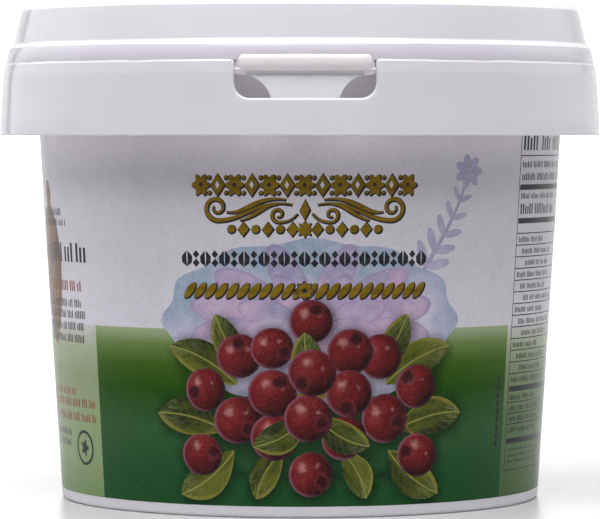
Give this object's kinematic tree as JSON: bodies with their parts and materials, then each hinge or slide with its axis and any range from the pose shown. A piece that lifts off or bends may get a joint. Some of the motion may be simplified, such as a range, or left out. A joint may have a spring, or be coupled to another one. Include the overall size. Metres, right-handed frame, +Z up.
{
  "type": "preserves tub with press-on lid",
  "caption": "Round tapered plastic tub of fruit preserves with an outer collar, a press-on lid, a break-away tear tab and a moulded-in printed sleeve label.",
  "frame": {"origin": "centre of the foot, on the surface that the tub stands on", "axes": "+Z up along the tub's axis, -Y towards the tear tab and the label's front panel, +X to the right as seen from the front"},
  "size_m": [0.1252, 0.1252, 0.102],
  "materials": {
    "tub_plastic": "injection-moulded white polypropylene, satin",
    "lid_plastic": "injection-moulded white polypropylene, satin",
    "tab_plastic": "injection-moulded white polypropylene, satin, slightly warmer",
    "label_film": "printed in-mould film, soft gloss",
    "fruit_preserves": "dark red fruit in clear syrup, wet"
  },
  "bodies": {
    "root": {"tub": "tub_plastic", "lid": "lid_plastic", "tear_tab": "tab_plastic", "label": "label_film", "preserves": "fruit_preserves"}
  },
  "joints": []
}
